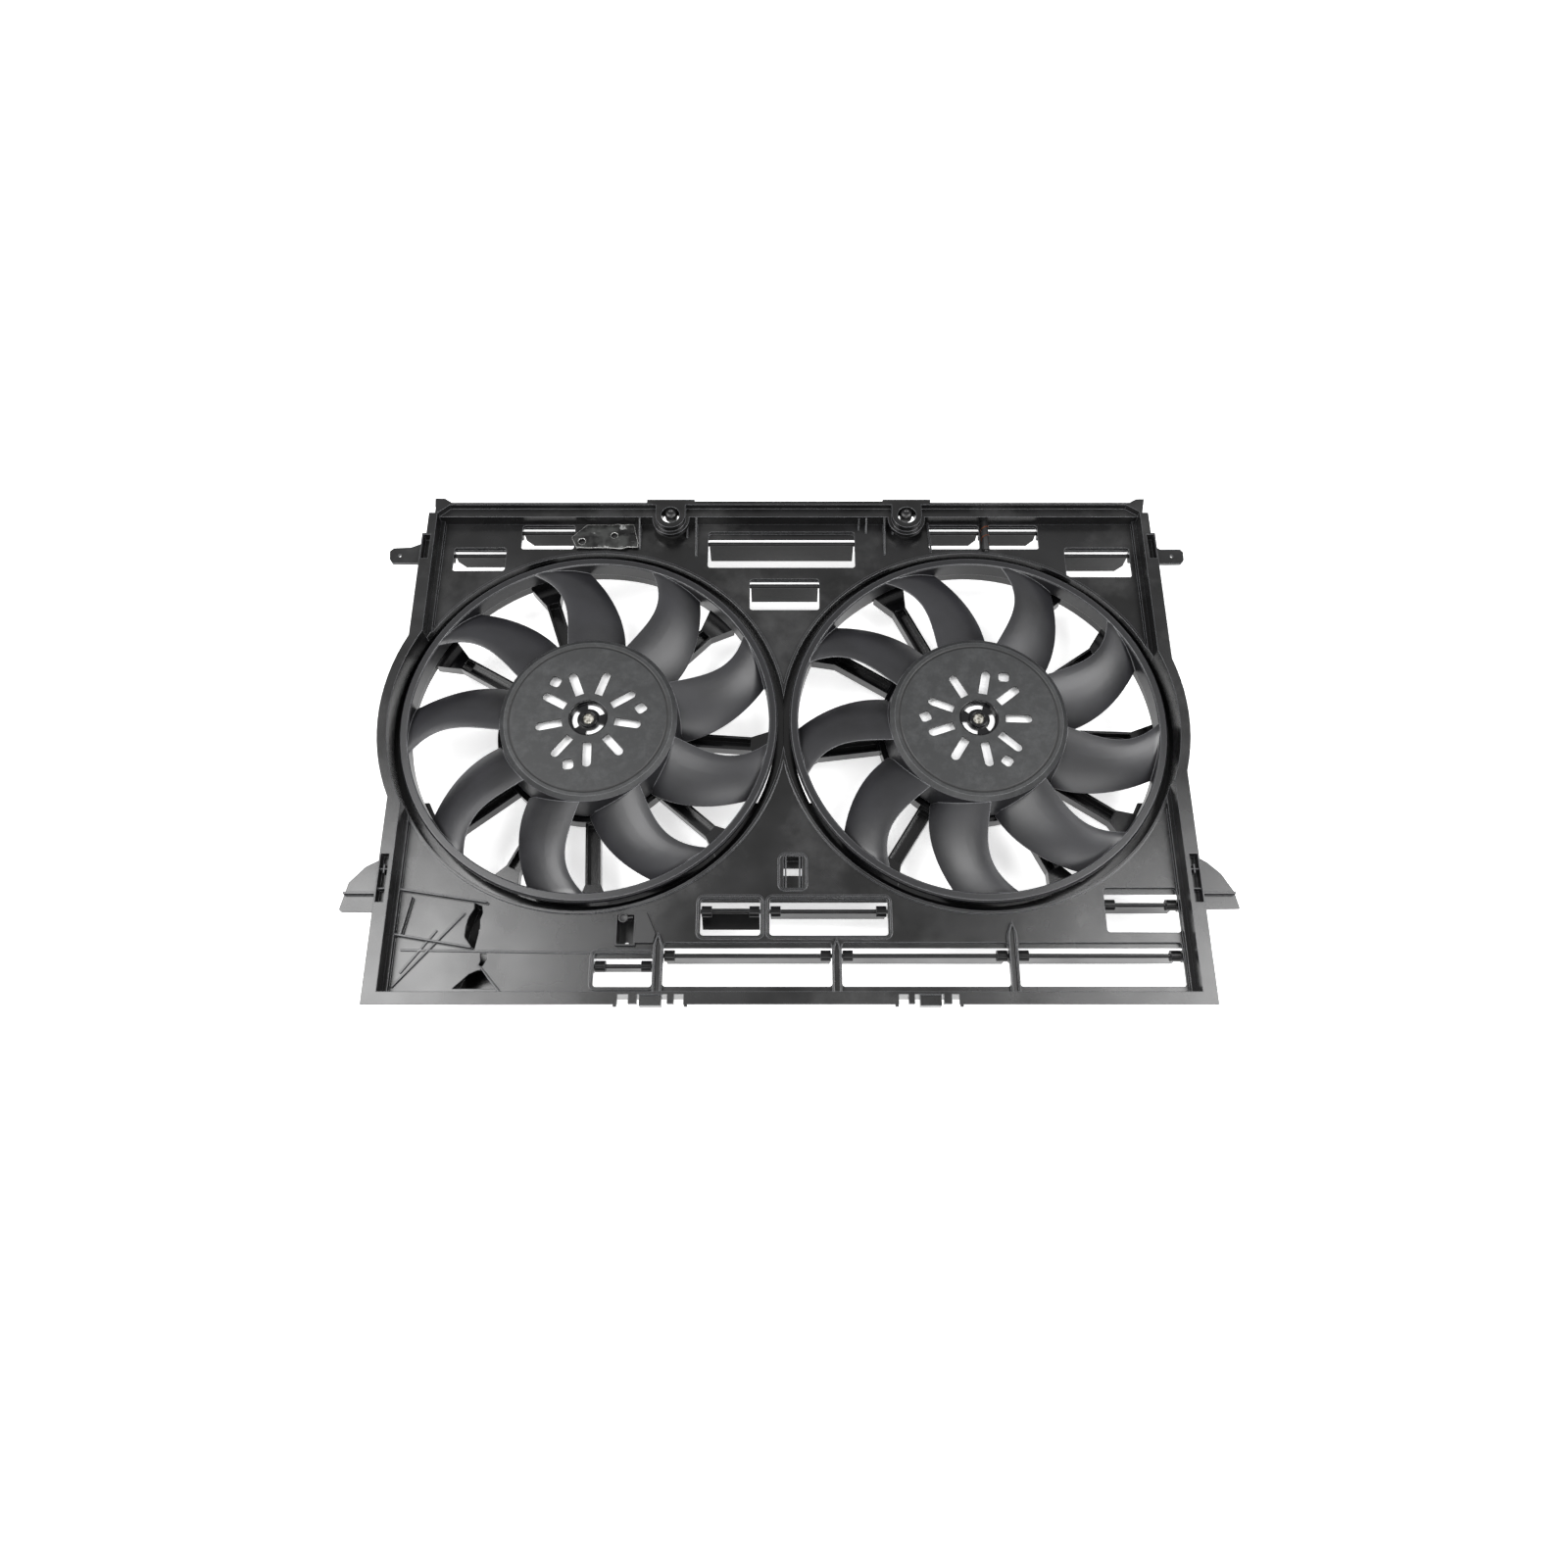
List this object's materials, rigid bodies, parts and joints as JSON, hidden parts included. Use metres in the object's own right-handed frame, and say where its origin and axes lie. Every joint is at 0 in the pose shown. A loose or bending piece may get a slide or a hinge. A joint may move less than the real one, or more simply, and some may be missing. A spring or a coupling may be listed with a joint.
{
  "type": "radiator fan",
  "caption": "Twin radiator cooling fan: a moulded shroud tray with ring-banded swept fans on outer-rotor motors, strut mounts and hanging ram-air flaps.",
  "frame": {"origin": "middle of the outline on the plane that the backs of the two motors lie on", "axes": "+X to the right seen from the radiator side, +Y to the edge with the two round eyes (top in the vehicle), +Z towards the radiator"},
  "size_m": [0.792, 0.512, 0.086],
  "materials": {
    "tray_plastic": "satin",
    "fan_plastic": "satin",
    "flap_plastic": "satin",
    "bracket_sheet": "satin",
    "plug_plastic": "matte",
    "cast_aluminium": "matte",
    "zinc_steel": "satin",
    "cover_steel": "satin",
    "circuit_board": "satin",
    "bearing_steel": "gloss",
    "lamination_steel": "satin",
    "copper_wire": "satin",
    "rotor_steel": "satin",
    "ferrite": "matte",
    "brass_screw": "satin"
  },
  "bodies": {
    "shroud": {"shroud": "tray_plastic", "upper_plate": "tray_plastic", "lower_plate": "tray_plastic", "left_ring_duct": "tray_plastic", "right_ring_duct": "tray_plastic", "left_strut_frame": "tray_plastic", "right_strut_frame": "tray_plastic", "bracket_plate": "bracket_sheet", "connector_housing": "plug_plastic", "left_motor_base": "cast_aluminium", "left_motor_screws": "zinc_steel", "left_motor_cover": "cover_steel", "left_cover_screws": "zinc_steel", "left_controller_board": "circuit_board", "left_front_bearing": "bearing_steel", "left_rear_bearing": "bearing_steel", "left_stator_core": "lamination_steel", "left_stator_windings": "copper_wire", "right_motor_base": "cast_aluminium", "right_motor_screws": "zinc_steel", "right_motor_cover": "cover_steel", "right_cover_screws": "zinc_steel", "right_controller_board": "circuit_board", "right_front_bearing": "bearing_steel", "right_rear_bearing": "bearing_steel", "right_stator_core": "lamination_steel", "right_stator_windings": "copper_wire"},
    "left_fan": {"left_fan_wheel": "fan_plastic", "left_rotor_can": "rotor_steel", "left_rotor_magnet": "ferrite", "left_motor_shaft": "bearing_steel", "left_hub_screw": "brass_screw"},
    "right_fan": {"right_fan_wheel": "fan_plastic", "right_rotor_can": "rotor_steel", "right_rotor_magnet": "ferrite", "right_motor_shaft": "bearing_steel", "right_hub_screw": "brass_screw"},
    "shoulder_left_flap": {"shoulder_left_flap": "flap_plastic"},
    "upper_left_flap": {"upper_left_flap": "flap_plastic"},
    "grille_flap": {"grille_flap": "flap_plastic"},
    "middle_flap": {"middle_flap": "flap_plastic"},
    "upper_right_inner_flap": {"upper_right_inner_flap": "flap_plastic"},
    "upper_right_outer_flap": {"upper_right_outer_flap": "flap_plastic"},
    "shoulder_right_flap": {"shoulder_right_flap": "flap_plastic"},
    "belt_left_flap": {"belt_left_flap": "flap_plastic"},
    "belt_middle_flap": {"belt_middle_flap": "flap_plastic"},
    "belt_right_flap": {"belt_right_flap": "flap_plastic"},
    "foot_first_flap": {"foot_first_flap": "flap_plastic"},
    "foot_left_flap": {"foot_left_flap": "flap_plastic"},
    "foot_middle_flap": {"foot_middle_flap": "flap_plastic"},
    "foot_right_flap": {"foot_right_flap": "flap_plastic"}
  },
  "joints": [
    {"name": "left_fan_spin", "type": "hinge", "parent": "shroud", "child": "left_fan", "pos_m": [-0.18825, 0.0175, 0.06], "axis": [0, 0, 1], "continuous": true},
    {"name": "right_fan_spin", "type": "hinge", "parent": "shroud", "child": "right_fan", "pos_m": [0.17825, 0.0175, 0.06], "axis": [0, 0, 1], "continuous": true},
    {"name": "shoulder_left_flap_hinge", "type": "hinge", "parent": "shroud", "child": "shoulder_left_flap", "pos_m": [-0.30975, 0.2045, 0.06], "axis": [-1, 0, 0], "range_deg": [0, 88]},
    {"name": "upper_left_flap_hinge", "type": "hinge", "parent": "shroud", "child": "upper_left_flap", "pos_m": [-0.2426, 0.2315, 0.06], "axis": [-1, 0, 0], "range_deg": [0, 88]},
    {"name": "grille_flap_hinge", "type": "hinge", "parent": "shroud", "child": "grille_flap", "pos_m": [-0.0072, 0.2185, 0.06], "axis": [-1, 0, 0], "range_deg": [0, 88]},
    {"name": "middle_flap_hinge", "type": "hinge", "parent": "shroud", "child": "middle_flap", "pos_m": [-0.0041, 0.1696, 0.06], "axis": [-1, 0, 0], "range_deg": [0, 88]},
    {"name": "upper_right_inner_flap_hinge", "type": "hinge", "parent": "shroud", "child": "upper_right_inner_flap", "pos_m": [0.1668, 0.2315, 0.06], "axis": [-1, 0, 0], "range_deg": [0, 88]},
    {"name": "upper_right_outer_flap_hinge", "type": "hinge", "parent": "shroud", "child": "upper_right_outer_flap", "pos_m": [0.2262, 0.2315, 0.06], "axis": [-1, 0, 0], "range_deg": [0, 88]},
    {"name": "shoulder_right_flap_hinge", "type": "hinge", "parent": "shroud", "child": "shoulder_right_flap", "pos_m": [0.3096, 0.2045, 0.06], "axis": [-1, 0, 0], "range_deg": [0, 88]},
    {"name": "belt_left_flap_hinge", "type": "hinge", "parent": "shroud", "child": "belt_left_flap", "pos_m": [-0.0522, -0.1658, 0.06], "axis": [-1, 0, 0], "range_deg": [-30, 58]},
    {"name": "belt_middle_flap_hinge", "type": "hinge", "parent": "shroud", "child": "belt_middle_flap", "pos_m": [0.03505, -0.1658, 0.06], "axis": [-1, 0, 0], "range_deg": [0, 88]},
    {"name": "belt_right_flap_hinge", "type": "hinge", "parent": "shroud", "child": "belt_right_flap", "pos_m": [0.31355, -0.1598, 0.06], "axis": [-1, 0, 0], "range_deg": [0, 88]},
    {"name": "foot_first_flap_hinge", "type": "hinge", "parent": "shroud", "child": "foot_first_flap", "pos_m": [-0.1453, -0.2155, 0.06], "axis": [-1, 0, 0], "range_deg": [0, 88]},
    {"name": "foot_left_flap_hinge", "type": "hinge", "parent": "shroud", "child": "foot_left_flap", "pos_m": [-0.03655, -0.2061, 0.06], "axis": [-1, 0, 0], "range_deg": [0, 88]},
    {"name": "foot_middle_flap_hinge", "type": "hinge", "parent": "shroud", "child": "foot_middle_flap", "pos_m": [0.11925, -0.2061, 0.06], "axis": [-1, 0, 0], "range_deg": [0, 88]},
    {"name": "foot_right_flap_hinge", "type": "hinge", "parent": "shroud", "child": "foot_right_flap", "pos_m": [0.2728, -0.2061, 0.06], "axis": [-1, 0, 0], "range_deg": [0, 88]}
  ]
}
